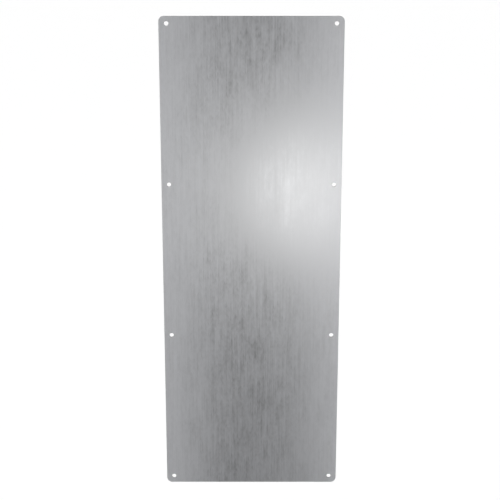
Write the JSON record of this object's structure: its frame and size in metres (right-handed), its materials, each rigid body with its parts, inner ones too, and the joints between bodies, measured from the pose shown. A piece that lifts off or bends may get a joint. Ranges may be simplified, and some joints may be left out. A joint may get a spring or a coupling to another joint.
{
  "type": "kick plate",
  "caption": "Flat satin stainless steel door kick plate with rounded corners and plain round screw holes along both long edges.",
  "frame": {"origin": "middle of the back face, the face that lies against the door", "axes": "+Z along the plate's long side and its brushed grain, +X across its width, -Y out of the brushed front face, so +Y points into the door. On a door the plate is turned a quarter turn about Y, which makes the long side level."},
  "size_m": [0.3048, 0.0016, 0.8636],
  "materials": {
    "satin_stainless": "satin, belt polished along the long side on the front, mill finish on the back, sheared and deburred edges"
  },
  "bodies": {
    "root": {"kick_plate": "satin_stainless"}
  },
  "joints": []
}
